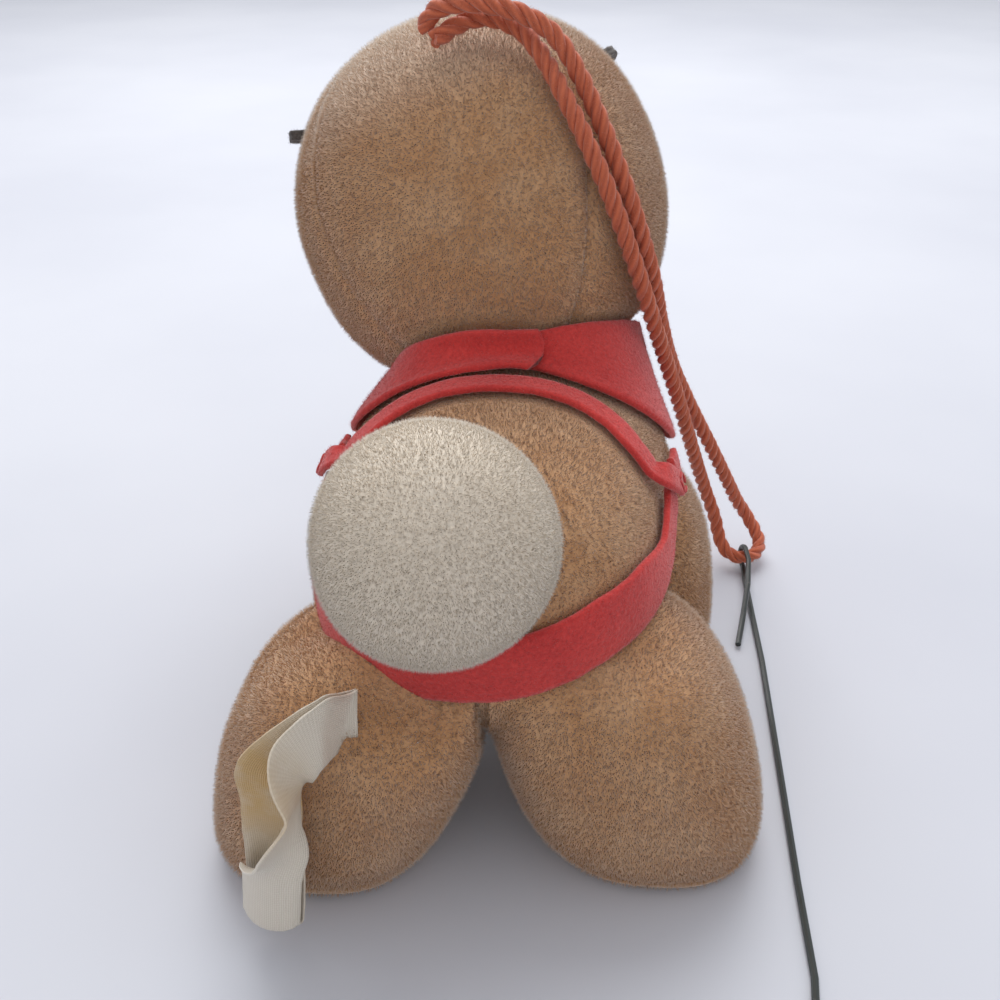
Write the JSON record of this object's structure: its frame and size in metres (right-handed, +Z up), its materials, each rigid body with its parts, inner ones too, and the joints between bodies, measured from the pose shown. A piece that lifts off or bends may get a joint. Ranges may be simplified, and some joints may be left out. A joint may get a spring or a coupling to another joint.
{
  "type": "stuffed reindeer ornament",
  "caption": "Stuffed plush reindeer ornament with felt antlers and harness, a ball tail, a satin label, and a hanging cord with a wire hook.",
  "frame": {"origin": "on the surface the animal stands on, below the middle of its outer box without the cord and hook", "axes": "+Z up, +Y the way the animal faces, +X to the animal's right"},
  "size_m": [0.0943, 0.1325, 0.103],
  "materials": {
    "tan_plush": "short-pile plush, light tan, matt, slightly rubbed",
    "cream_plush": "short-pile plush, off-white, matt",
    "stuffing": "loose white polyester fibre",
    "red_felt": "thin scarlet felt with fuzzy cut edges",
    "dark_felt": "dark grey-brown felt",
    "dark_plush": "dark brown plush",
    "eye_plastic": "polished black",
    "washer_plastic": "moulded white",
    "satin": "woven satin ribbon, cream, yellowed",
    "orange_cord": "twisted three-ply cord, orange-red, slightly fuzzy",
    "red_thread": "sewing thread, red",
    "dark_wire": "dark green-black lacquered wire"
  },
  "bodies": {
    "body": {"head_skin": "tan_plush", "head_stuffing": "stuffing", "muzzle_skin": "cream_plush", "muzzle_stuffing": "stuffing", "nose": "dark_plush", "eye_left": "eye_plastic", "eye_right": "eye_plastic", "eye_washer_left": "washer_plastic", "eye_washer_right": "washer_plastic", "back_skin": "tan_plush", "belly_panel": "cream_plush", "torso_stuffing": "stuffing", "fore_leg_left": "tan_plush", "fore_leg_right": "tan_plush", "fore_stuffing_left": "stuffing", "fore_stuffing_right": "stuffing", "fore_sole_left": "tan_plush", "fore_sole_right": "tan_plush", "hind_leg_left": "tan_plush", "hind_leg_right": "tan_plush", "hind_stuffing_left": "stuffing", "hind_stuffing_right": "stuffing", "hind_sole_left": "tan_plush", "hind_sole_right": "tan_plush", "collar": "red_felt", "back_strap": "red_felt", "breeching_strap": "red_felt", "collar_link_left": "red_felt", "collar_link_right": "red_felt", "flank_stitch_left": "red_thread", "flank_stitch_right": "red_thread", "crown_knot": "orange_cord"},
    "tail": {"tail_skin": "cream_plush", "tail_stuffing": "stuffing"},
    "antler_left": {"antler_left": "dark_felt"},
    "antler_right": {"antler_right": "dark_felt"},
    "ear_left": {"ear_left": "tan_plush", "ear_lining_left": "cream_plush"},
    "ear_right": {"ear_right": "tan_plush", "ear_lining_right": "cream_plush"},
    "label": {"label": "satin"},
    "cord": {"cord_loop": "orange_cord"},
    "hook": {"wire_hook": "dark_wire"}
  },
  "joints": [
    {"name": "cord_lift", "type": "hinge", "parent": "body", "child": "cord", "pos_m": [-0.01195, 0.0086, 0.09765], "axis": [0.5295, -0.7943, -0.2979], "range_deg": [0, 145]},
    {"name": "hook_swing", "type": "hinge", "parent": "cord", "child": "hook", "pos_m": [0.0426, 0.027, 0.00265], "axis": [-0.9693, -0.2461, 0], "range_deg": [0, 75]},
    {"name": "tail_wag", "type": "hinge", "parent": "body", "child": "tail", "pos_m": [-0.0038, -0.0388, 0.0504], "axis": [0.9941, -0.1086, 0], "range_deg": [-6, 6], "stiffness_Nm_per_rad": 0.02},
    {"name": "antler_bend_left", "type": "hinge", "parent": "body", "child": "antler_left", "pos_m": [-0.02647, 0.04296, 0.07502], "axis": [0.7156, 0.6657, -0.2116], "range_deg": [-12, 12], "stiffness_Nm_per_rad": 0.002},
    {"name": "antler_bend_right", "type": "hinge", "parent": "body", "child": "antler_right", "pos_m": [0.00612, 0.04296, 0.08688], "axis": [-0.2246, 0.638, -0.7365], "range_deg": [-12, 12], "stiffness_Nm_per_rad": 0.002},
    {"name": "ear_bend_left", "type": "hinge", "parent": "body", "child": "ear_left", "pos_m": [-0.02676, 0.04143, 0.06285], "axis": [-0.5144, -0.2166, 0.8297], "range_deg": [-15, 20], "stiffness_Nm_per_rad": 0.002},
    {"name": "ear_bend_right", "type": "hinge", "parent": "body", "child": "ear_right", "pos_m": [0.01416, 0.04143, 0.07775], "axis": [0.1393, 0.2166, -0.9663], "range_deg": [-15, 20], "stiffness_Nm_per_rad": 0.002},
    {"name": "label_flap", "type": "hinge", "parent": "body", "child": "label", "pos_m": [-0.0143, -0.0527, 0.0342], "axis": [0, 0.4983, 0.867], "range_deg": [0, 30], "stiffness_Nm_per_rad": 0.0005}
  ]
}
